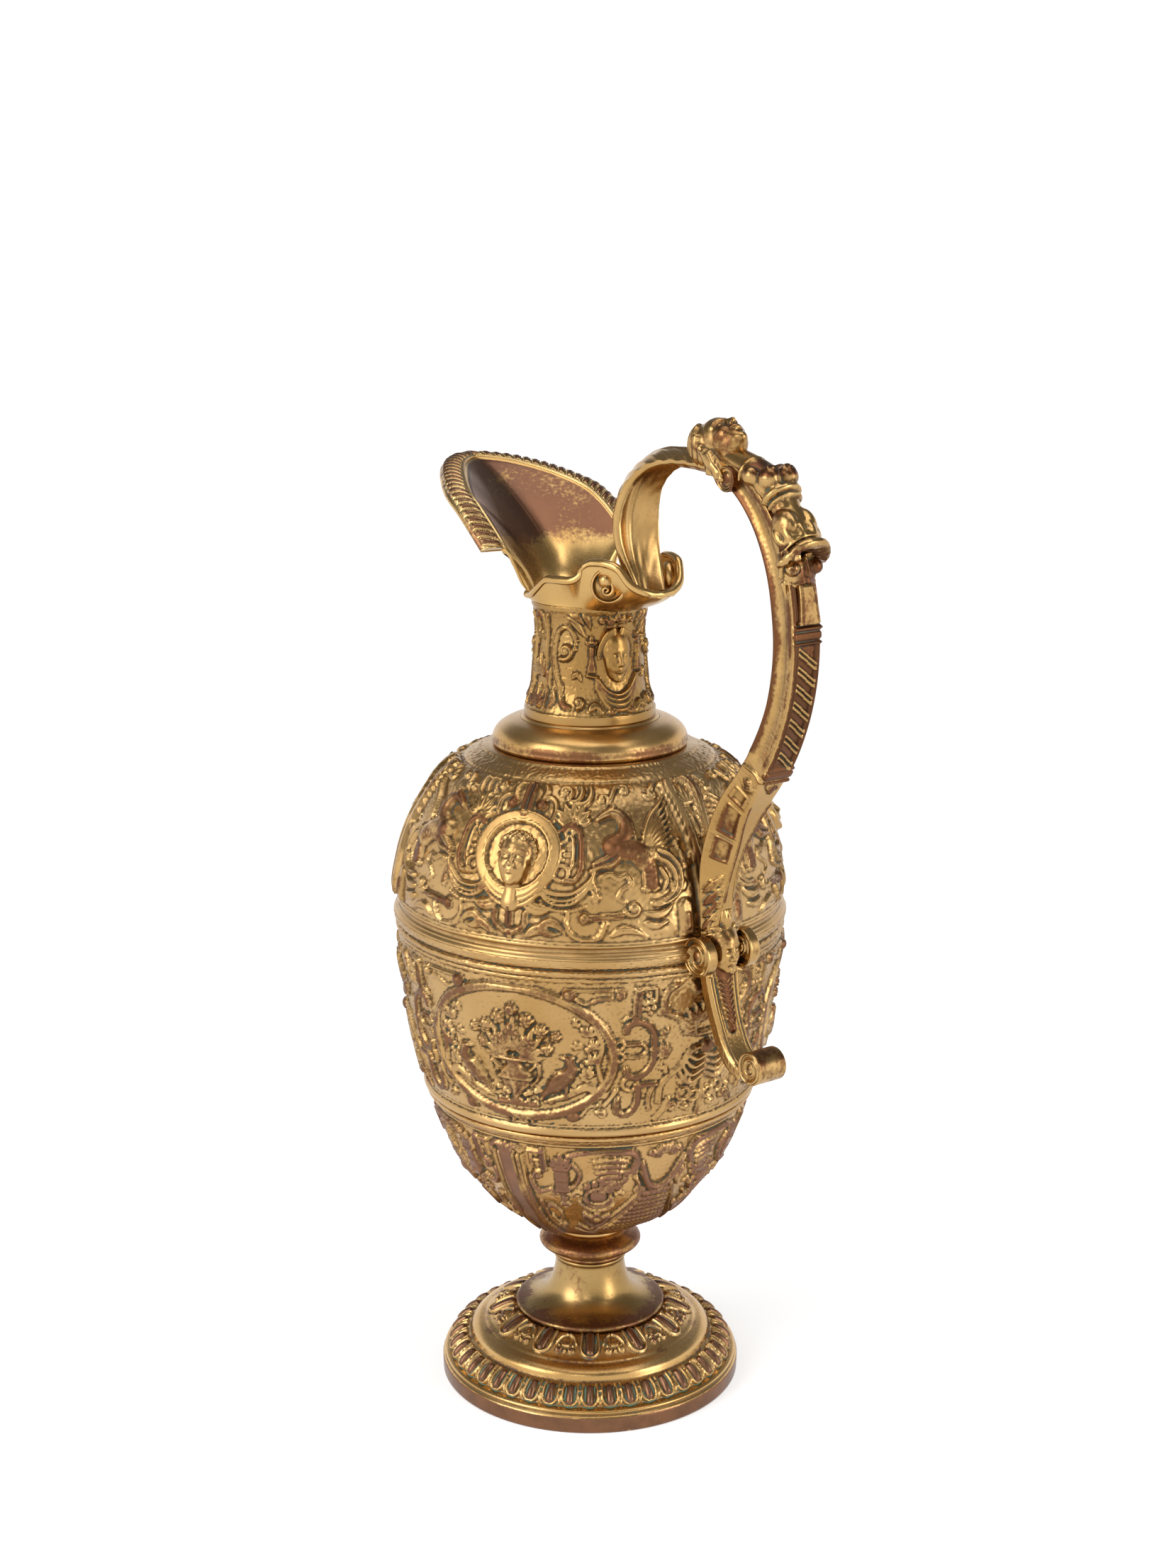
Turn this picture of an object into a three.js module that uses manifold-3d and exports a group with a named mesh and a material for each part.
// A gilt bronze ewer: turned castings clamped on a tie rod, a spout with a gadrooned lip, and a scroll
// handle with a half figure. Millimetres, +Z up. The origin is on the axis, in the plane the foot rests on.
// The handle points along +X and the spout along -X.
import * as THREE from 'three';
import { mergeVertices } from 'three/addons/utils/BufferGeometryUtils.js';
import Module from 'manifold-3d';

const wasm = await Module();
wasm.setup();

// Fits
const CLEARANCE = 0.3;
const PLATE_CLEARANCE = 0.2;
const WALL = 1.8;

// Foot
const FOOT_RADIUS = 46.2;
const PLINTH_HEIGHT = 5.0;
const EGG_RING_RADIUS = 43.2;
const EGG_RING_RISE = 4.8;
const CYMA_RADIUS = 37.6;
const CYMA_RISE = 3.6;
const TONGUE_RING_RADIUS = 31.3;
const TONGUE_RING_RISE = 4.0;
const FOOT_WALL = 2.6;
const PLATE_THICKNESS = 1.2;
const PLATE_LEDGE = 1.6;

// Stem, knop and the ring the bowl sits on
const FLANGE_RADIUS = 23.0;
const FLANGE_HEIGHT = 1.4;
const STEM_HEIGHT = 17.2;
const STEM_WAIST_RADIUS = 10.4;
const KNOP_RADIUS = 15.6;
const KNOP_HEIGHT = 8.2;
const SEAT_RING_RADIUS = 10.8;
const SEAT_RING_HEIGHT = 2.2;

// Body
const BOWL_HEIGHT = 47.1;
const BOWL_BASE_RADIUS = 13.2;
const SEAM_RADIUS = 49.4;
const BAND_HEIGHT = 55.5;
const BELLY_RADIUS = 58.0;
const SHOULDER_HEIGHT = 48.9;
const SHOULDER_TOP_RADIUS = 31.4;
const COLLAR_RADIUS = 28.6;
const COLLAR_HEIGHT = 8.9;
const NECK_HEIGHT = 34.0;
const NECK_BASE_RADIUS = 19.2;
const NECK_WAIST_RADIUS = 15.6;
const NECK_TOP_RADIUS = 17.0;

// Main forms of the cast relief, which repeats three times round the body
const RELIEF_MIDDLES = [-60, 60, 180];
const RELIEF_RISE = 1.4;
const RELIEF_ROOT = 0.9;
const ROUNDEL_RADIUS = 11.2;
const ROUNDEL_FRAME_HALF_WIDTH = 1.7;
const ROUNDEL_HEAD_RADIUS = 5.4;
const ROUNDEL_HEAD_RISE = 2.8;
const MEDALLION_HALF_WIDTH = 28.7;
const MEDALLION_HALF_HEIGHT = 20.4;
const MEDALLION_FRAME_HALF_WIDTH = 1.5;

// Spout and lip
const SPOUT_REACH = 58.0;
const SPOUT_RISE = 36.3;
const SPOUT_HALF_WIDTH = 21.5;
const LEDGE_REACH = 33.0;
const LIP_WIDTH = 7.6;
const CHEEK_BOSS_RADIUS = 3.4;

// Handle: the joint lies between the root's end and the strap
const HANDLE_RISE = 137.4;
const HANDLE_REACH = 31.8;
const JOINT_INSET = 1.0;
const ROOT_THROAT_INSET = 9.3;
const ROOT_WALL = 2.6;
const STRAP_WIDTH = 9.6;
const TAIL_DROP = 29.9;
const TAIL_THICKNESS = 3.4;
const KEEL_BASE_WIDTH = 11.4;
const KEEL_RIDGE_WIDTH = 3.0;
const TAIL_VOLUTE_RADIUS = 4.7;
const SHOULDER_VOLUTE_RADIUS = 3.6;
const SHOULDER_VOLUTE_WIDTH = 12.6;
const BRACKET_SCROLL_RADIUS = 5.9;
const BRACKET_SCROLL_WIDTH = 3.4;
const HEAD_RADII = [9.0, 6.4, 7.4];
const HAIR_RADII = [5.8, 6.2, 5.2];
const THROAT_RADII = [5.4, 3.4, 4.4];
const BREAST_RADII = [3.4, 3.2, 3.4];
const GROTESQUE_RADII = [7.0, 6.6, 6.6];
const TAIL_MASK_RADII = [5.0, 4.9, 8.4];

// Tie rod
const ROD_RADIUS = 3.0;
const ROD_BORE_RADIUS = ROD_RADIUS + 0.4;
const ROD_HEAD_RADIUS = 6.5;
const ROD_HEAD_HEIGHT = 2.4;
const ROD_TAIL = 1.6;
const NUT_RADIUS = 5.8;
const NUT_HEIGHT = 4.2;
const WASHER_RADIUS = 8.0;
const WASHER_THICKNESS = 1.0;

// Facets round a turned piece
const LARGE_FACETS = 36;
const SMALL_FACETS = 28;

// Heights worked out from the sizes above
const eggRingZ = PLINTH_HEIGHT + 2.2;
const cymaZ = eggRingZ + EGG_RING_RISE;
const tongueRingZ = cymaZ + CYMA_RISE + 1.0;
const footTopZ = tongueRingZ + TONGUE_RING_RISE;
const stemTopZ = footTopZ + STEM_HEIGHT;
const knopTopZ = stemTopZ + KNOP_HEIGHT;
const bowlZ = knopTopZ + SEAT_RING_HEIGHT;
const seamZ = bowlZ + BOWL_HEIGHT;
const bandTopZ = seamZ + BAND_HEIGHT;
const shoulderTopZ = bandTopZ + SHOULDER_HEIGHT;
const collarTopZ = shoulderTopZ + COLLAR_HEIGHT;
const neckTopZ = collarTopZ + NECK_HEIGHT;
const bellyZ = bandTopZ - 2.2;

// Colours from the photograph
const GOLD = { color: 0xb8883c, roughness: 0.3, metalness: 1 };
const COPPER = { color: 0x7a4a36, roughness: 0.38, metalness: 1 };
const IRON = { color: 0x4a4540, roughness: 0.6, metalness: 1 };

const ewer = new THREE.Group();

// A welded copy that holds positions only
function weld(geometry) {
  const bare = geometry.clone();
  bare.deleteAttribute('normal');
  bare.deleteAttribute('uv');
  return mergeVertices(bare, 1e-4);
}

function signedVolume(positions, index) {
  const a = new THREE.Vector3();
  const b = new THREE.Vector3();
  const c = new THREE.Vector3();
  let volume = 0;
  for (let i = 0; i < index.length; i += 3) {
    a.fromArray(positions, 3 * index[i]);
    b.fromArray(positions, 3 * index[i + 1]);
    c.fromArray(positions, 3 * index[i + 2]);
    volume += a.dot(b.cross(c)) / 6;
  }
  return volume;
}

// A solid for joining and cutting, its faces turned outwards and its flat triangles left out
function solidOf(geometry) {
  const welded = weld(geometry);
  const positions = welded.attributes.position.array;
  const index = [];
  for (let i = 0; i < welded.index.count; i += 3) {
    const [a, b, c] = [0, 1, 2].map((k) => welded.index.getX(i + k));
    if (a !== b && b !== c && a !== c) index.push(a, b, c);
  }
  if (signedVolume(positions, index) < 0) index.reverse();
  return new wasm.Manifold(new wasm.Mesh({
    numProp: 3,
    vertProperties: new Float32Array(positions),
    triVerts: new Uint32Array(index),
  }));
}

function geometryOf(solid) {
  const mesh = solid.getMesh();
  const geometry = new THREE.BufferGeometry();
  geometry.setAttribute('position', new THREE.BufferAttribute(mesh.vertProperties.slice(), 3));
  geometry.setIndex(new THREE.BufferAttribute(mesh.triVerts.slice(), 1));
  geometry.computeVertexNormals();
  return geometry;
}

function add(name, solid, look) {
  const mesh = new THREE.Mesh(geometryOf(solid), new THREE.MeshStandardMaterial(look));
  mesh.name = name;
  ewer.add(mesh);
}

// The largest body that a cut leaves, without the slivers beside it
function mainBody(solid) {
  const bodies = solid.decompose();
  return bodies.reduce((best, body) => (body.volume() > best.volume() ? body : best));
}

// Turned solid from a closed outline of [radius, height] points
function turned(outline, facets = LARGE_FACETS) {
  const points = [...outline, outline[0]].map(([r, z]) => new THREE.Vector2(r, z));
  return solidOf(new THREE.LatheGeometry(points, facets).rotateX(Math.PI / 2));
}

// Upright cylinder from its lower to its upper height
function upright(radius, low, high, facets = SMALL_FACETS) {
  const geometry = new THREE.CylinderGeometry(radius, radius, high - low, facets);
  return solidOf(geometry.rotateX(Math.PI / 2).translate(0, 0, (low + high) / 2));
}

// Cylinder lying across the handle's plane
function crosswise(radius, width, x, y, z, facets = 24) {
  return solidOf(new THREE.CylinderGeometry(radius, radius, width, facets).translate(x, y, z));
}

function ellipsoid(centre, radii, across = 14, down = 8) {
  const ball = new THREE.SphereGeometry(1, across, down).rotateX(Math.PI / 2);
  return solidOf(ball.scale(...radii).translate(...centre));
}

// Arc from one [radius, height] point to another, bulging by a share of the chord
function arc(from, to, bulge, steps) {
  const [r0, z0] = from;
  const [r1, z1] = to;
  const points = [];
  for (let i = 1; i < steps; i++) {
    const t = i / steps;
    const lift = 4 * bulge * t * (1 - t);
    points.push([r0 + (r1 - r0) * t + (z1 - z0) * lift, z0 + (z1 - z0) * t - (r1 - r0) * lift]);
  }
  return points;
}

// Smooth line through [radius, height] points
function smooth(points, steps) {
  const curve = new THREE.SplineCurve(points.map(([r, z]) => new THREE.Vector2(r, z)));
  return curve.getPoints(steps).map((p) => [p.x, p.y]);
}

// The same line moved inwards by the wall, measured square to the line
function inset(line, wall) {
  return line.map(([r, z], i) => {
    const [ra, za] = line[Math.max(i - 1, 0)];
    const [rb, zb] = line[Math.min(i + 1, line.length - 1)];
    const length = Math.hypot(rb - ra, zb - za);
    return [r - (wall * (zb - za)) / length, z + (wall * (rb - ra)) / length];
  });
}

// Point on a turned wall, at degrees from the handle and a height, moved outwards by a distance
function onWall(line, degrees, height, away) {
  const k = Math.max(1, line.findIndex(([, z]) => z >= height));
  const [r0, z0] = line[k - 1];
  const [r1, z1] = line[k];
  const t = (height - z0) / (z1 - z0);
  const length = Math.hypot(r1 - r0, z1 - z0);
  const radius = r0 + t * (r1 - r0) + (away * (z1 - z0)) / length;
  const a = THREE.MathUtils.degToRad(degrees);
  return new THREE.Vector3(radius * Math.cos(a), radius * Math.sin(a), height - (away * (r1 - r0)) / length);
}

// Raised strap on a turned wall, through places of [degrees, height]
const strapOutline = [[-1, 0], [1, 0], [0.7, 1], [-0.7, 1]];
function wallStrap(line, places, halfWidth, closed = false) {
  const count = places.length;
  const rows = places.map(([degrees, height], j) => {
    const before = places[closed ? (j + count - 1) % count : Math.max(j - 1, 0)];
    const after = places[closed ? (j + 1) % count : Math.min(j + 1, count - 1)];
    const along = onWall(line, ...after, 0).sub(onWall(line, ...before, 0));
    const root = onWall(line, degrees, height, -RELIEF_ROOT);
    const crest = onWall(line, degrees, height, RELIEF_RISE);
    const across = crest.clone().sub(root).cross(along).normalize();
    return strapOutline.map(([side, up]) => (
      root.clone().lerp(crest, up).addScaledVector(across, side * halfWidth)
    ));
  });
  const outline = strapOutline.map(([side, up]) => new THREE.Vector2(side, up));
  return lofted(rows, closed, [outline, outline]);
}

// Oval frame on a turned wall
function wallFrame(line, degrees, height, halfWidth, halfHeight, frameHalfWidth, count) {
  const [low, high] = [onWall(line, 0, height - 1, 0), onWall(line, 0, height + 1, 0)];
  const climb = 2 / low.distanceTo(high);
  const radius = (low.x + high.x) / 2;
  const places = Array.from({ length: count }, (_, k) => {
    const v = (2 * Math.PI * k) / count;
    const turn = THREE.MathUtils.radToDeg((halfWidth * Math.cos(v)) / radius);
    return [degrees + turn, height + halfHeight * Math.sin(v) * climb];
  });
  return wallStrap(line, places, frameHalfWidth, true);
}

// Low boss on a turned wall
function wallBoss(line, degrees, height, radius, rise = RELIEF_RISE) {
  const centre = onWall(line, degrees, height, rise - radius);
  return ellipsoid(centre.toArray(), [radius, radius, radius], 8, 5);
}

// The main forms of a casting's relief, kept out of the room inside its wall. Straps are [half width, places]
// and bosses [degrees, share, radius], each in degrees from a third's middle and shares of a height. Both
// sides of the middle carry them.
function wallRelief(line, heightAt, straps, bosses, extra) {
  const forms = RELIEF_MIDDLES.flatMap((middle) => [
    ...[-1, 1].flatMap((side) => [
      ...straps.map(([halfWidth, places]) => {
        const path = places.map(([degrees, share]) => [middle + side * degrees, heightAt(share)]);
        return wallStrap(line, path, halfWidth);
      }),
      ...bosses.map(([degrees, share, radius]) => (
        wallBoss(line, middle + side * degrees, heightAt(share), radius)
      )),
    ]),
    ...extra(middle),
  ]);
  const room = inset(line, WALL / 2);
  const inside = turned([[0, room[0][1]], ...room, [0, room[room.length - 1][1]]]);
  return forms.reduce((all, form) => all.add(form)).subtract(inside);
}

// Solid through rows of points. A closed loft joins its last row to its first; an open one is capped
// with the triangles of its own flat outline.
function lofted(rows, closed, outlines = []) {
  const count = rows[0].length;
  const positions = rows.flat().flatMap((p) => [p.x, p.y, p.z]);
  const index = [];
  const last = closed ? rows.length : rows.length - 1;
  for (let j = 0; j < last; j++) {
    const next = (j + 1) % rows.length;
    for (let i = 0; i < count; i++) {
      const a = j * count + i;
      const b = j * count + ((i + 1) % count);
      const c = next * count + i;
      const d = next * count + ((i + 1) % count);
      index.push(a, b, c, b, d, c);
    }
  }
  if (!closed) {
    const start = THREE.ShapeUtils.triangulateShape(outlines[0], []);
    const end = THREE.ShapeUtils.triangulateShape(outlines[outlines.length - 1], []);
    const offset = (rows.length - 1) * count;
    const turn = THREE.ShapeUtils.isClockWise(outlines[0]) ? 1 : -1;
    start.forEach(([a, b, c]) => index.push(...(turn > 0 ? [a, b, c] : [a, c, b])));
    end.forEach(([a, b, c]) => index.push(...[a, turn > 0 ? c : b, turn > 0 ? b : c].map((k) => k + offset)));
  }
  const geometry = new THREE.BufferGeometry();
  geometry.setAttribute('position', new THREE.Float32BufferAttribute(positions, 3));
  geometry.setIndex(index);
  return solidOf(geometry);
}

// Path in the handle's plane. Each station has a place [x, z] and a flat outline of [across, outward] points.
// Outward is the path's left side when it is walked from the first station to the last.
function alongPath(stations) {
  const rows = [];
  const outlines = [];
  stations.forEach((station, j) => {
    const [xa, za] = stations[Math.max(j - 1, 0)].place;
    const [xb, zb] = stations[Math.min(j + 1, stations.length - 1)].place;
    const length = Math.hypot(xb - xa, zb - za);
    const [nx, nz] = [-(zb - za) / length, (xb - xa) / length];
    const [x, z] = station.place;
    rows.push(station.outline.map(([a, b]) => new THREE.Vector3(x + nx * b, a, z + nz * b)));
    outlines.push(station.outline.map(([a, b]) => new THREE.Vector2(a, b)));
  });
  return lofted(rows, false, outlines);
}

// Foot: plinth, egg ring, cyma, inner ornament ring, and a rebate below for the closing plate
const plinthInner = EGG_RING_RADIUS - 1;
const footOuter = [
  [FOOT_RADIUS - 0.2, 0],
  [FOOT_RADIUS, PLINTH_HEIGHT],
  [FOOT_RADIUS - 1, PLINTH_HEIGHT + 0.5],
  [FOOT_RADIUS - 1.4, PLINTH_HEIGHT + 1.7],
  [EGG_RING_RADIUS, eggRingZ],
  ...arc([EGG_RING_RADIUS, eggRingZ], [CYMA_RADIUS, cymaZ], 0.18, 3),
  [CYMA_RADIUS, cymaZ],
  ...arc([CYMA_RADIUS, cymaZ], [TONGUE_RING_RADIUS + 1.4, cymaZ + CYMA_RISE], 0.16, 3),
  [TONGUE_RING_RADIUS + 1.4, cymaZ + CYMA_RISE],
  [TONGUE_RING_RADIUS, tongueRingZ],
  [FLANGE_RADIUS + 0.6, footTopZ],
];
add('foot_base', turned([
  [plinthInner, 0],
  ...footOuter,
  [ROD_BORE_RADIUS, footTopZ],
  [ROD_BORE_RADIUS, footTopZ - FOOT_WALL],
  [FLANGE_RADIUS, footTopZ - FOOT_WALL],
  [TONGUE_RING_RADIUS - 1, tongueRingZ - FOOT_WALL],
  [CYMA_RADIUS - FOOT_WALL, cymaZ - FOOT_WALL],
  [plinthInner - PLATE_LEDGE, PLINTH_HEIGHT],
  [plinthInner - PLATE_LEDGE, PLATE_THICKNESS],
  [plinthInner, PLATE_THICKNESS],
]), GOLD);

add('foot_closing_plate', upright(plinthInner - PLATE_CLEARANCE, 0, PLATE_THICKNESS, LARGE_FACETS), COPPER);

// Stem: a trumpet on its own flange, bored for the rod and hollowed below
const stemCurve = smooth([
  [FLANGE_RADIUS - 3.2, footTopZ + FLANGE_HEIGHT],
  [STEM_WAIST_RADIUS + 4.4, footTopZ + STEM_HEIGHT * 0.2],
  [STEM_WAIST_RADIUS + 1.2, footTopZ + STEM_HEIGHT * 0.5],
  [STEM_WAIST_RADIUS, footTopZ + STEM_HEIGHT * 0.85],
  [STEM_WAIST_RADIUS + 0.2, stemTopZ],
], 7);
const stemHollow = footTopZ + STEM_HEIGHT * 0.55;
add('stem_trumpet', turned([
  [FLANGE_RADIUS - 4, footTopZ],
  [FLANGE_RADIUS, footTopZ],
  [FLANGE_RADIUS, footTopZ + FLANGE_HEIGHT],
  ...stemCurve,
  [ROD_BORE_RADIUS, stemTopZ],
  [ROD_BORE_RADIUS, stemHollow],
  [STEM_WAIST_RADIUS - WALL, stemHollow - 2.5],
  [STEM_WAIST_RADIUS + 1, footTopZ + STEM_HEIGHT * 0.2],
], SMALL_FACETS), GOLD);

// Knop: a flat disc with a dished top
const knopMidZ = stemTopZ + KNOP_HEIGHT * 0.54;
add('knop', turned([
  [ROD_BORE_RADIUS, stemTopZ],
  [STEM_WAIST_RADIUS + 0.8, stemTopZ],
  [STEM_WAIST_RADIUS + 0.8, stemTopZ + 1.2],
  ...arc([STEM_WAIST_RADIUS + 0.8, stemTopZ + 1.2], [KNOP_RADIUS, knopMidZ], 0.15, 3),
  [KNOP_RADIUS, knopMidZ],
  ...arc([KNOP_RADIUS, knopMidZ], [SEAT_RING_RADIUS + 1.2, knopTopZ - 0.2], 0.22, 3),
  [SEAT_RING_RADIUS + 1.2, knopTopZ - 0.2],
  [SEAT_RING_RADIUS, knopTopZ],
  [ROD_BORE_RADIUS, knopTopZ],
], SMALL_FACETS), COPPER);

add('bowl_seat_ring', turned([
  [ROD_BORE_RADIUS, knopTopZ],
  [SEAT_RING_RADIUS - 0.4, knopTopZ],
  [SEAT_RING_RADIUS, knopTopZ + SEAT_RING_HEIGHT / 2],
  [SEAT_RING_RADIUS - 0.4, bowlZ],
  [ROD_BORE_RADIUS, bowlZ],
], SMALL_FACETS), GOLD);

// Lower bowl, open at the seam. Its curve is given by shares of the bowl's height and rim radius.
const bowlSwell = SEAM_RADIUS - BOWL_BASE_RADIUS;
const bowlPoint = (out, up) => [BOWL_BASE_RADIUS + out * bowlSwell, bowlZ + up * BOWL_HEIGHT];
const bowlOuter = [
  bowlPoint(0, 0),
  ...smooth([
    bowlPoint(0.12, 0.05),
    bowlPoint(0.46, 0.27),
    bowlPoint(0.73, 0.5),
    bowlPoint(0.91, 0.82),
    bowlPoint(0.94, 0.9),
  ], 8),
  [SEAM_RADIUS, seamZ - 2.4],
  [SEAM_RADIUS, seamZ],
];
const bowlInner = inset(bowlOuter.slice(1, -2), WALL).reverse();
const floorZ = bowlZ + 3.4;
add('lower_bowl', turned([
  ...bowlOuter,
  [SEAM_RADIUS - WALL - 1.4, seamZ],
  [SEAM_RADIUS - WALL - 1.6, seamZ - 4],
  ...bowlInner.filter(([, z], i) => i % 2 === 0 && z > floorZ && z < seamZ - 5),
  [BOWL_BASE_RADIUS, floorZ],
  [ROD_BORE_RADIUS, floorZ],
  [ROD_BORE_RADIUS, bowlZ],
]), GOLD);

// Middle band, from the seam to the groove over the belly torus
const bandOuter = [
  [SEAM_RADIUS, seamZ],
  [SEAM_RADIUS + 0.9, seamZ + 1.6],
  [SEAM_RADIUS + 0.4, seamZ + 3.4],
  ...smooth([
    [SEAM_RADIUS + 0.8, seamZ + 4.2],
    [SEAM_RADIUS + 3.6, seamZ + BAND_HEIGHT * 0.33],
    [BELLY_RADIUS - 2.6, seamZ + BAND_HEIGHT * 0.62],
    [BELLY_RADIUS - 1.0, seamZ + BAND_HEIGHT * 0.86],
  ], 6),
  [BELLY_RADIUS - 1.2, bellyZ - 4.4],
  ...arc([BELLY_RADIUS - 1.2, bellyZ - 3.4], [BELLY_RADIUS - 1.0, bandTopZ], 0.2, 4),
  [BELLY_RADIUS - 1.0, bandTopZ],
];
const bandInner = [
  [BELLY_RADIUS - 1.4 - WALL, bandTopZ],
  [BELLY_RADIUS - 1.8 - WALL, seamZ + BAND_HEIGHT * 0.8],
  [BELLY_RADIUS - 3.6 - WALL, seamZ + BAND_HEIGHT * 0.5],
  [SEAM_RADIUS + 2.0 - WALL, seamZ + BAND_HEIGHT * 0.22],
  [SEAM_RADIUS - 1.4 - WALL, seamZ],
];
const bandHeightAt = (share) => seamZ + share * BAND_HEIGHT;
const bandStraps = [
  [1.0, [[33.4, 0.61], [38.2, 0.66], [42.1, 0.5], [38.2, 0.36], [33.6, 0.4]]],
  [1.0, [[37.6, 0.29], [37.4, 0.2], [34.6, 0.14], [31.2, 0.23]]],
  [1.1, [[44.2, 0.75], [46.2, 0.69], [49.8, 0.66], [55.6, 0.555]]],
  [1.1, [[44.8, 0.195], [45.2, 0.29], [51.8, 0.39], [54.4, 0.458]]],
];
const bandBosses = [
  [15.0, 0.36, 3.6],
  [31.4, 0.815, 2.5],
  [39.6, 0.755, 2.6],
  [45.0, 0.485, 2.7],
  [49.6, 0.15, 2.8],
];
const bandCentre = (middle) => [
  wallFrame(bandOuter, middle, bandHeightAt(0.476), MEDALLION_HALF_WIDTH, MEDALLION_HALF_HEIGHT,
    MEDALLION_FRAME_HALF_WIDTH, 22),
  wallBoss(bandOuter, middle, bandHeightAt(0.33), 5.0, 1.9),
  wallBoss(bandOuter, middle, bandHeightAt(0.59), 7.5, 1.8),
  wallBoss(bandOuter, middle + 60, bandHeightAt(0.62), 5.0),
];
const bandRelief = wallRelief(bandOuter, bandHeightAt, bandStraps, bandBosses, bandCentre);
add('middle_band', turned([...bandOuter, ...bandInner]).add(bandRelief), GOLD);

// Shoulder dome, its curve given by shares of its height and of the fall in radius
const shoulderFall = BELLY_RADIUS - SHOULDER_TOP_RADIUS;
const shoulderPoint = (fall, up) => [BELLY_RADIUS - fall * shoulderFall, bandTopZ + up * SHOULDER_HEIGHT];
const shoulderLine = [
  ...smooth([
    shoulderPoint(0.02, 0.1),
    shoulderPoint(0.05, 0.28),
    shoulderPoint(0.14, 0.44),
    shoulderPoint(0.29, 0.64),
    shoulderPoint(0.53, 0.83),
    shoulderPoint(0.83, 0.945),
  ], 10),
];
const shoulderHeightAt = (share) => bandTopZ + share * SHOULDER_HEIGHT;
const shoulderStraps = [
  [1.0, [[14.2, 0.71], [19.9, 0.69], [20.4, 0.59], [18.4, 0.46], [15.4, 0.45]]],
  [1.9, [[40.0, 0.55], [35.0, 0.605], [30.4, 0.625], [34.2, 0.68], [34.9, 0.74], [29.8, 0.8]]],
  [1.1, [[43.6, 0.58], [49.6, 0.475], [48.8, 0.38], [41.2, 0.316]]],
  [1.1, [[21.4, 0.246], [31.6, 0.26]]],
  [1.0, [[0.0, 0.15], [4.2, 0.19], [4.6, 0.26]]],
];
const shoulderBosses = [
  [13.4, 0.89, 3.3],
  [27.6, 0.86, 2.5],
  [36.0, 0.89, 2.4],
  [35.4, 0.296, 3.3],
];
const shoulderCentre = (middle) => [
  wallFrame(shoulderLine, middle, shoulderHeightAt(0.571), ROUNDEL_RADIUS, ROUNDEL_RADIUS,
    ROUNDEL_FRAME_HALF_WIDTH, 18),
  wallBoss(shoulderLine, middle, shoulderHeightAt(0.571), ROUNDEL_HEAD_RADIUS, ROUNDEL_HEAD_RISE),
  wallStrap(shoulderLine, [[middle, shoulderHeightAt(0.78)], [middle, shoulderHeightAt(0.88)]], 1.7),
];
const shoulderRelief = wallRelief(
  shoulderLine, shoulderHeightAt, shoulderStraps, shoulderBosses, shoulderCentre);
add('shoulder', turned([
  [BELLY_RADIUS - 1.0, bandTopZ],
  [BELLY_RADIUS - 0.3, bandTopZ + 1.4],
  ...shoulderLine,
  [SHOULDER_TOP_RADIUS + 0.6, shoulderTopZ - 0.9],
  [SHOULDER_TOP_RADIUS, shoulderTopZ],
  [NECK_BASE_RADIUS, shoulderTopZ],
  [NECK_BASE_RADIUS, shoulderTopZ - WALL],
  ...inset(shoulderLine, WALL).reverse().filter((_, i) => i % 2 === 0),
  [BELLY_RADIUS - 1.4 - WALL, bandTopZ],
]).add(shoulderRelief), GOLD);

// Neck collar: a smooth torus over a fillet
add('neck_collar', turned([
  [NECK_BASE_RADIUS - WALL, shoulderTopZ],
  [COLLAR_RADIUS - 0.6, shoulderTopZ],
  [COLLAR_RADIUS, shoulderTopZ + COLLAR_HEIGHT * 0.14],
  [COLLAR_RADIUS, shoulderTopZ + COLLAR_HEIGHT * 0.3],
  ...arc([COLLAR_RADIUS, shoulderTopZ + COLLAR_HEIGHT * 0.3], [NECK_BASE_RADIUS + 1.4, collarTopZ], 0.24, 5),
  [NECK_BASE_RADIUS + 1.4, collarTopZ],
  [NECK_BASE_RADIUS - WALL, collarTopZ],
], SMALL_FACETS), GOLD);

// Neck tube
const neckLine = [
  [NECK_BASE_RADIUS, collarTopZ],
  [NECK_BASE_RADIUS, collarTopZ + 3],
  ...smooth([
    [NECK_BASE_RADIUS - 1.2, collarTopZ + 4.6],
    [NECK_WAIST_RADIUS + 0.8, collarTopZ + NECK_HEIGHT * 0.27],
    [NECK_WAIST_RADIUS, collarTopZ + NECK_HEIGHT * 0.55],
    [NECK_WAIST_RADIUS - 0.2, collarTopZ + NECK_HEIGHT * 0.8],
    [NECK_TOP_RADIUS, neckTopZ],
  ], 7),
];
const neckBore = neckLine.map(([r, z]) => [r - WALL, z]).reverse();
add('neck', turned([...neckLine, ...neckBore], SMALL_FACETS), GOLD);

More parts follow.
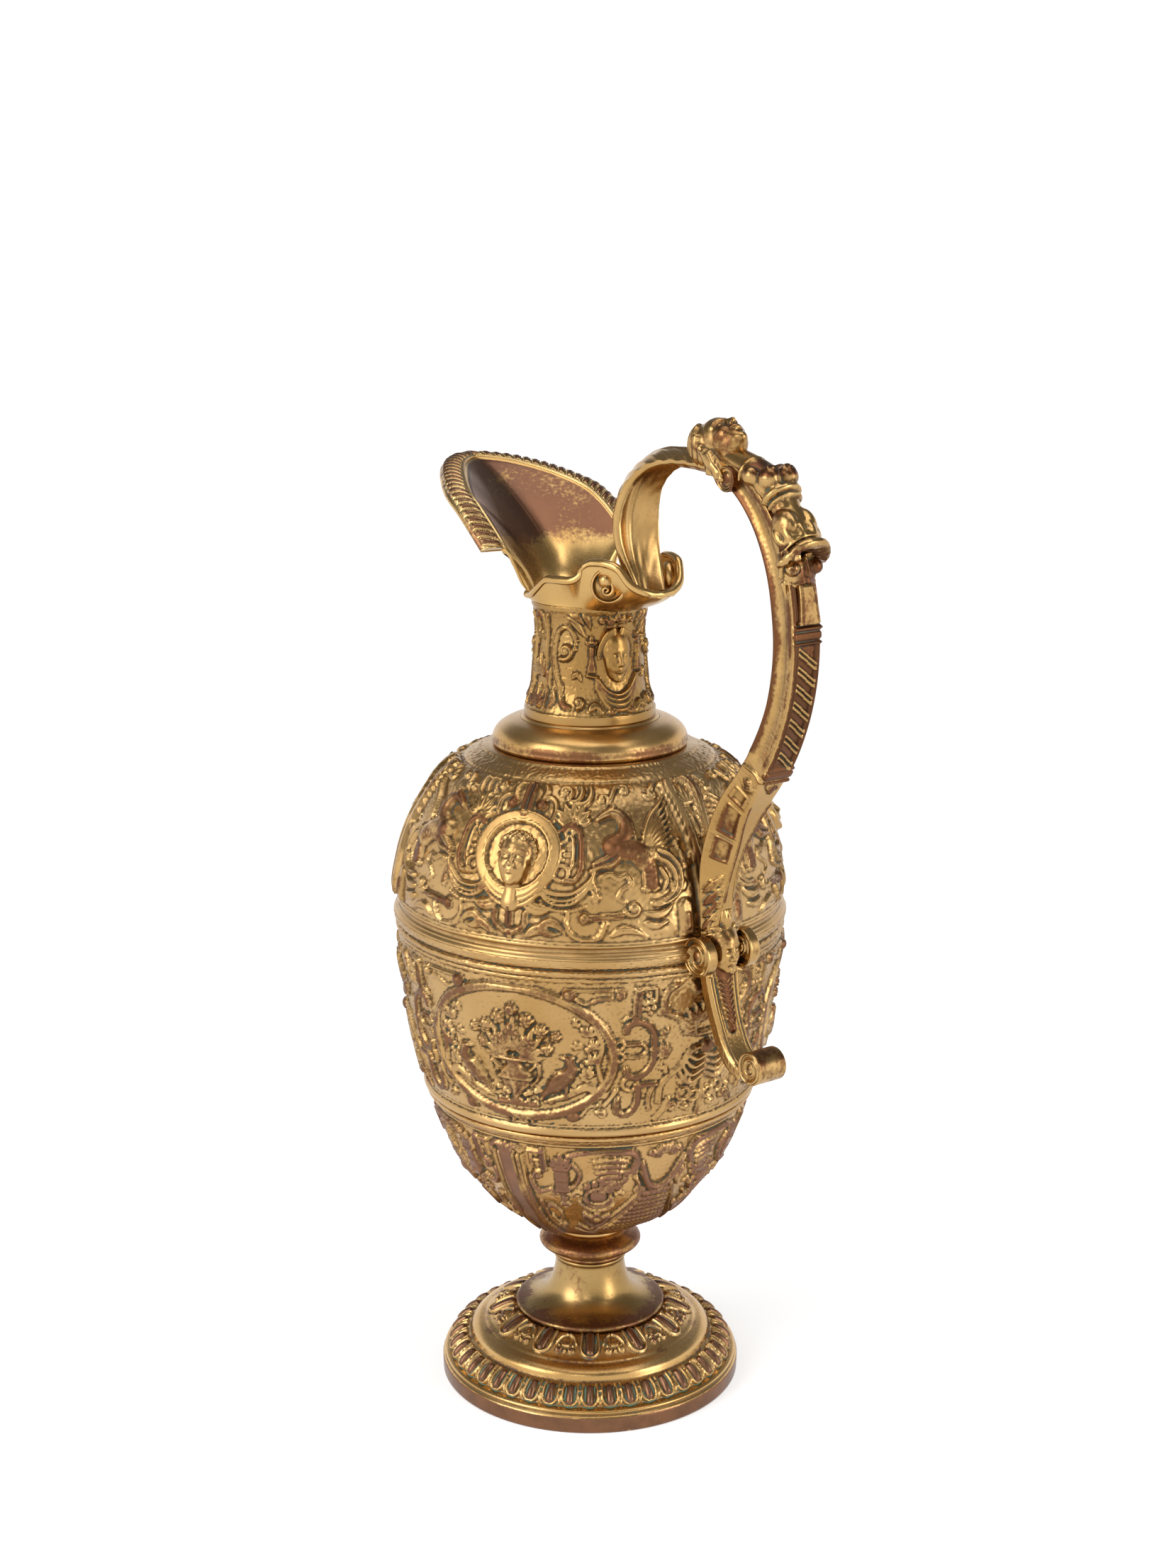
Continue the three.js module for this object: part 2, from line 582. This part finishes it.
// Mouth: half of its rim from the handle's side to the spout's tip, as
// [angle round the neck in degrees, x, y, height over the neck]. The other half mirrors it.
const rimHalf = [
  [0, LEDGE_REACH, 0, 6.2],
  [8, LEDGE_REACH - 1.0, 4.2, 6.6],
  [15, LEDGE_REACH - 2.8, 7.8, 8.6],
  [20, NECK_TOP_RADIUS + 10.2, 9.9, 12.9],
  [26, NECK_TOP_RADIUS + 6.2, 11.2, 14.0],
  [32, NECK_TOP_RADIUS + 2.4, 12.1, 13.9],
  [38, NECK_TOP_RADIUS - 0.1, 12.9, 13.5],
  [45, NECK_TOP_RADIUS - 2.3, 14.1, 12.2],
  [54, NECK_TOP_RADIUS - 5.0, 15.5, 8.9],
  [67, 7.5, NECK_TOP_RADIUS - 0.4, 8.4],
  [80, 3.0, NECK_TOP_RADIUS, 7.8],
  [92, -1.5, NECK_TOP_RADIUS - 0.4, 4.8],
  [103, -5.5, NECK_TOP_RADIUS - 1.4, 2.6],
  [113, -9.0, NECK_TOP_RADIUS - 2.0, 2.4],
  [121, -10.6, NECK_TOP_RADIUS - 0.8, 4.2],
  [128, -11.2, SPOUT_HALF_WIDTH - 2.9, SPOUT_RISE * 0.27],
  [134, -11.8, SPOUT_HALF_WIDTH - 0.7, SPOUT_RISE * 0.4],
  [140, -15.8, SPOUT_HALF_WIDTH, SPOUT_RISE * 0.53],
  [146, -SPOUT_REACH * 0.417, SPOUT_HALF_WIDTH * 0.98, SPOUT_RISE * 0.7],
  [153, -SPOUT_REACH * 0.555, SPOUT_HALF_WIDTH * 0.91, SPOUT_RISE * 0.807],
  [161, -SPOUT_REACH * 0.733, SPOUT_HALF_WIDTH * 0.67, SPOUT_RISE * 0.906],
  [169, -SPOUT_REACH * 0.888, SPOUT_HALF_WIDTH * 0.38, SPOUT_RISE * 0.97],
  [175, -SPOUT_REACH * 0.972, SPOUT_HALF_WIDTH * 0.13, SPOUT_RISE * 0.995],
  [180, -SPOUT_REACH, 0, SPOUT_RISE],
];
const LIP_START_ANGLE = 134;
const lipStart = rimHalf.findIndex(([angle]) => angle >= LIP_START_ANGLE);
const rim = [
  ...rimHalf,
  ...rimHalf.slice(1, -1).reverse().map(([angle, x, y, up]) => [360 - angle, x, -y, up]),
];

// Inner face of the mouth: one curve per rim point, from the neck's bore up to the rim. Beside the handle
// the cheeks are full.
const MOUTH_STEPS = 6;
const mouthInner = rim.map(([angle, x, y, up]) => {
  const a = THREE.MathUtils.degToRad(angle);
  const bore = NECK_TOP_RADIUS - WALL;
  const foot = new THREE.Vector3(bore * Math.cos(a), bore * Math.sin(a), neckTopZ);
  const top = new THREE.Vector3(x, y, neckTopZ + up);
  const out = top.clone().sub(foot).setZ(0);
  const rise = new THREE.Vector3(0, 0, up);
  const full = THREE.MathUtils.smoothstep(60 - Math.min(angle, 360 - angle), 0, 30);
  const low = foot.clone().addScaledVector(rise, 0.33 - 0.08 * full).addScaledVector(out, 0.45 * full);
  const high = top.clone().addScaledVector(rise, -0.28 - 0.12 * full).addScaledVector(out, 0.32 * full - 0.47);
  return new THREE.CubicBezierCurve3(foot, low, high, top).getPoints(MOUTH_STEPS);
});

// Outward direction at each point of the inner face
const mouthNormals = mouthInner.map((column, j) => column.map((point, i) => {
  const before = mouthInner[(j + rim.length - 1) % rim.length][i];
  const after = mouthInner[(j + 1) % rim.length][i];
  const around = after.clone().sub(before);
  const upward = column[Math.min(i + 1, MOUTH_STEPS)].clone().sub(column[Math.max(i - 1, 0)]);
  const normal = around.cross(upward).normalize();
  return i === 0 ? normal.setZ(0).normalize() : normal;
}));

// The mouth's shell, from a distance inside its inner face to a distance outside it, and over its rim
function mouthShell(inside, outside, over) {
  const rows = mouthInner.map((column, j) => {
    const top = column[MOUTH_STEPS];
    const lift = top.clone().sub(column[MOUTH_STEPS - 1]).setLength(over);
    const line = [...column.slice(0, -1), top.clone().add(lift)];
    const face = (away) => line.map((point, i) => point.clone().addScaledVector(mouthNormals[j][i], away));
    return [...face(outside), ...face(-inside).reverse()];
  });
  return lofted(rows, true);
}
const mouth = mouthShell(0, WALL, 0);
const mouthRoom = mouthShell(CLEARANCE, WALL + CLEARANCE, CLEARANCE);
add('mouth', mouth, COPPER);

// Gadrooned flange round the lip, from one side's cut end round the tip to the other's. Its outline is given
// by the distance outwards and the height over the rim.
const lipOutline = [
  [0, 0.1],
  [0.7, 0.7],
  [LIP_WIDTH * 0.4, 1.2],
  [LIP_WIDTH * 0.75, 0.9],
  [LIP_WIDTH, -0.6],
  [LIP_WIDTH, -1.5],
  [LIP_WIDTH * 0.9, -2.0],
  [0.9, -1.7],
];
const lipCount = rim.length - 2 * lipStart + 1;
const lipRows = Array.from({ length: lipCount }, (_, k) => {
  const top = (j) => mouthInner[lipStart + j][MOUTH_STEPS];
  // The first stretch from each cut end keeps one sideways direction
  const turned = Math.min(Math.max(k, 3), lipCount - 4);
  const run = top(turned + 1).clone().sub(top(turned - 1));
  const out = new THREE.Vector3(run.y, -run.x, 0).normalize();
  const up = out.clone().cross(top(k + 1).clone().sub(top(k - 1))).normalize();
  return lipOutline.map(([n, t]) => top(k).clone().addScaledVector(out, n).addScaledVector(up, t));
});
const lipFlat = lipOutline.map(([n, t]) => new THREE.Vector2(n, t));
add('lip_border', mainBody(lofted(lipRows, false, [lipFlat, lipFlat]).subtract(mouthRoom)), GOLD);

// Volute bosses on the cheeks beside the handle
for (const [name, side] of [['near', -1], ['far', 1]]) {
  const place = [NECK_TOP_RADIUS + 5.9, side * 10.2, neckTopZ + 7.6];
  const boss = ellipsoid(place, Array(3).fill(CHEEK_BOSS_RADIUS), 10, 6);
  add(`cheek_boss_${name}`, mainBody(boss.subtract(mouthRoom)), GOLD);
}

// Handle root: a hollow leaf. Stations are [share of the way from the throat to the joint, share of the
// rise, half width, hollow depth].
const jointX = BELLY_RADIUS - JOINT_INSET;
const jointZ = bellyZ + HANDLE_RISE;
const throatX = LEDGE_REACH - ROOT_THROAT_INSET;
const rootRise = jointZ - 2.2 - neckTopZ;
const rootStations = [
  [0.177, 0.146, 5.6, 5.4],
  [0.117, 0.267, 6.4, 5.8],
  [0.045, 0.388, 7.4, 6.0],
  [0.000, 0.524, 8.2, 6.0],
  [0.003, 0.660, 8.0, 5.6],
  [0.063, 0.796, 7.3, 4.8],
  [0.183, 0.903, 6.6, 4.0],
  [0.345, 0.976, 5.9, 3.2],
  [0.538, 1.010, 5.2, 2.4],
  [0.760, 1.015, 4.9, 2.0],
  [1.000, 1.000, 4.8, 1.8],
];
const rootOutline = (half, depth, grow) => {
  const outer = half + grow;
  const inner = half - ROOT_WALL - grow;
  const shares = [0.8, 0.45, 0, -0.45, -0.8];
  const back = shares.map((s) => [-s * outer, depth * (1 - s * s) + ROOT_WALL + grow]);
  const front = shares.map((s) => [s * inner, depth * (1 - s * s) - grow]);
  return [[-outer, -grow], [-outer, ROOT_WALL], ...back, [outer, ROOT_WALL], [outer, -grow],
    [inner, -grow], ...front, [-inner, -grow]];
};
const rootSolid = (grow) => alongPath(rootStations.map(([out, up, half, depth], j) => {
  const x = throatX + out * (jointX - throatX);
  const end = j === rootStations.length - 1 ? grow : 0;
  return { place: [x + end, neckTopZ + up * rootRise], outline: rootOutline(half, depth, grow) };
}));
add('handle_root', mainBody(rootSolid(0).subtract(mouthRoom)), GOLD);

// Handle strap. Its middle line is given by shares of the handle's reach from its seat on the belly, and
// of its rise over the belly torus, or of the tail's drop where the share is below zero.
const tail = TAIL_THICKNESS / 2;
const seatReach = tail + CLEARANCE + 0.1;
const strapPlace = ([out, up]) => [
  BELLY_RADIUS + seatReach + out * (HANDLE_REACH - seatReach),
  bellyZ + up * (up > 0 ? HANDLE_RISE : TAIL_DROP),
];

// Stations are [share of the reach, share of the height, half thickness, half width inside, outside]
const half = STRAP_WIDTH / 2;
const keelIn = KEEL_BASE_WIDTH / 2;
const keelOut = KEEL_RIDGE_WIDTH / 2;
const jointShare = (CLEARANCE - JOINT_INSET - seatReach) / (HANDLE_REACH - seatReach);
const strapStations = [
  [jointShare, 1, 2.3, half, half],
  [0.125, 0.997, 2.6, half, half],
  [0.384, 0.971, 3.2, half, half],
  [0.613, 0.927, 3.7, half, half],
  [0.785, 0.873, 4.0, half, half],
  [0.906, 0.809, 4.0, half, half],
  [0.976, 0.739, 4.1, half, half],
  [1.000, 0.674, 4.0, half, half],
  [0.973, 0.605, 4.0, half, half],
  [0.892, 0.536, 4.0, half, half],
  [0.737, 0.463, 4.2, half, half],
  [0.535, 0.396, 4.4, half, half * 0.9],
  [0.320, 0.328, 4.6, keelIn, keelOut * 2],
  [0.165, 0.259, 4.6, keelIn, keelOut],
  [0.064, 0.189, 4.1, keelIn, keelOut],
  [0.030, 0.114, 2.6, keelIn, keelOut * 1.4],
  [0.000, 0.033, tail, keelIn, keelIn],
  [0.000, -0.147, tail, keelIn, keelIn],
  [0.051, -0.388, tail, half * 1.08, half * 1.08],
  [0.118, -0.589, tail, half, half],
  [0.212, -0.776, tail, half, half],
  [0.340, -0.923, tail, half, half],
  [0.515, -1.000, tail, half, half],
];
const tailVolute = strapPlace([0.643, -0.883]);
const shoulderVolute = strapPlace([0.239, 0.983]);
const strapSolid = (grow) => {
  const bar = alongPath(strapStations.map((station) => {
    const [, , thick, inside, outside] = station;
    const [t, a, b] = [thick + grow, inside + grow, outside + grow];
    return { place: strapPlace(station), outline: [[-a, -t], [-b, t], [b, t], [a, -t]] };
  }));
  const [tx, tz] = tailVolute;
  const [sx, sz] = shoulderVolute;
  return bar
    .add(crosswise(TAIL_VOLUTE_RADIUS + grow, STRAP_WIDTH + 2 * grow, tx, 0, tz))
    .add(crosswise(SHOULDER_VOLUTE_RADIUS + grow, SHOULDER_VOLUTE_WIDTH + 2 * grow, sx, 0, sz, 20));
};
const strapRoom = strapSolid(CLEARANCE);
add('handle_strap', strapSolid(0), GOLD);

// Half figure: torso stations are [share of the reach, share of the rise, half width, half depth]
const torsoStations = [
  [0.192, 1.038, 3.0, 3.0],
  [0.333, 1.016, 3.8, 3.2],
  [0.485, 1.000, 6.4, 3.6],
  [0.653, 0.980, 6.9, 4.2],
  [0.785, 0.946, 5.5, 4.2],
  [0.899, 0.914, 5.7, 4.8],
  [0.987, 0.885, 6.8, 5.6],
  [1.047, 0.862, 7.2, 6.6],
  [1.081, 0.846, 6.9, 6.2],
];
const ellipse = (a, b, count) => Array.from({ length: count }, (_, k) => {
  const angle = (2 * Math.PI * k) / count;
  return [a * Math.cos(angle), b * Math.sin(angle)];
});
const torso = (grow) => alongPath(torsoStations.map(([out, up, across, deep], j) => {
  const [x, z] = strapPlace([out, up]);
  const drop = j === torsoStations.length - 1 ? grow : 0;
  return { place: [x, z - drop], outline: ellipse(across + grow, deep + grow, 14) };
}));

// Head, hair, throat and breasts, placed from the joint
const fromJoint = (x, z) => [jointX + x, 0, jointZ + z];
const [breastX, breastZ] = strapPlace([0.751, 0.999]);
const breastAcross = BREAST_RADII[1];
const figure = torso(0)
  .add(ellipsoid(fromJoint(0.4, 6.6), HEAD_RADII))
  .add(ellipsoid(fromJoint(-6.8, 6.4), HAIR_RADII))
  .add(ellipsoid(fromJoint(5.6, 4.8), THROAT_RADII, 10, 6))
  .add(ellipsoid([breastX, -breastAcross, breastZ], BREAST_RADII, 10, 6))
  .add(ellipsoid([breastX, breastAcross, breastZ], BREAST_RADII, 10, 6))
  .subtract(strapRoom)
  .subtract(rootSolid(CLEARANCE));
add('term_figure', mainBody(figure), GOLD);

// Grotesque mask under the belt
const [maskX, maskZ] = strapPlace([1.054, 0.818]);
const maskBlock = ellipsoid([maskX, 0, maskZ], GROTESQUE_RADII);
add('grotesque_mask', mainBody(maskBlock.subtract(strapRoom).subtract(torso(CLEARANCE * 1.5))), COPPER);

// Mask on the belly, above the tail
const tailMask = ellipsoid([BELLY_RADIUS + 4.6, 0, bellyZ + 4.0], TAIL_MASK_RADII);
add('tail_mask', mainBody(tailMask.subtract(strapRoom)), COPPER);

// Scrolls beside the mask, cut to the belly's curve
const bellyRoom = turned([
  [SEAM_RADIUS - 10, seamZ + BAND_HEIGHT * 0.5],
  [BELLY_RADIUS - 2, seamZ + BAND_HEIGHT * 0.5],
  [BELLY_RADIUS + CLEARANCE + 0.1, bellyZ - 6],
  [BELLY_RADIUS + CLEARANCE + 0.1, bellyZ + 14],
  [SEAM_RADIUS - 10, bellyZ + 14],
]);
for (const [name, side] of [['near', -1], ['far', 1]]) {
  const y = side * (keelIn + CLEARANCE + BRACKET_SCROLL_WIDTH / 2);
  const scroll = crosswise(BRACKET_SCROLL_RADIUS, BRACKET_SCROLL_WIDTH, BELLY_RADIUS + 3.2, y, bandTopZ);
  add(`bracket_scroll_${name}`, mainBody(scroll.subtract(bellyRoom)), GOLD);
}

// Tie rod with its head on the bowl's floor, and its washer and nut under the foot's top
const washerTopZ = footTopZ - FOOT_WALL;
const nutTopZ = washerTopZ - WASHER_THICKNESS;
const rodLowZ = nutTopZ - NUT_HEIGHT - ROD_TAIL;
add('tie_rod', upright(ROD_RADIUS, rodLowZ, floorZ + ROD_HEAD_HEIGHT / 2, 20)
  .add(upright(ROD_HEAD_RADIUS, floorZ, floorZ + ROD_HEAD_HEIGHT, 24)), IRON);
add('tie_washer', upright(WASHER_RADIUS, nutTopZ, washerTopZ, 24)
  .subtract(upright(ROD_BORE_RADIUS, nutTopZ - 1, washerTopZ + 1, 20)), IRON);
add('tie_nut', upright(NUT_RADIUS, nutTopZ - NUT_HEIGHT, nutTopZ, 6)
  .subtract(upright(ROD_BORE_RADIUS, nutTopZ - NUT_HEIGHT - 1, nutTopZ + 1, 20)), IRON);

export default ewer;
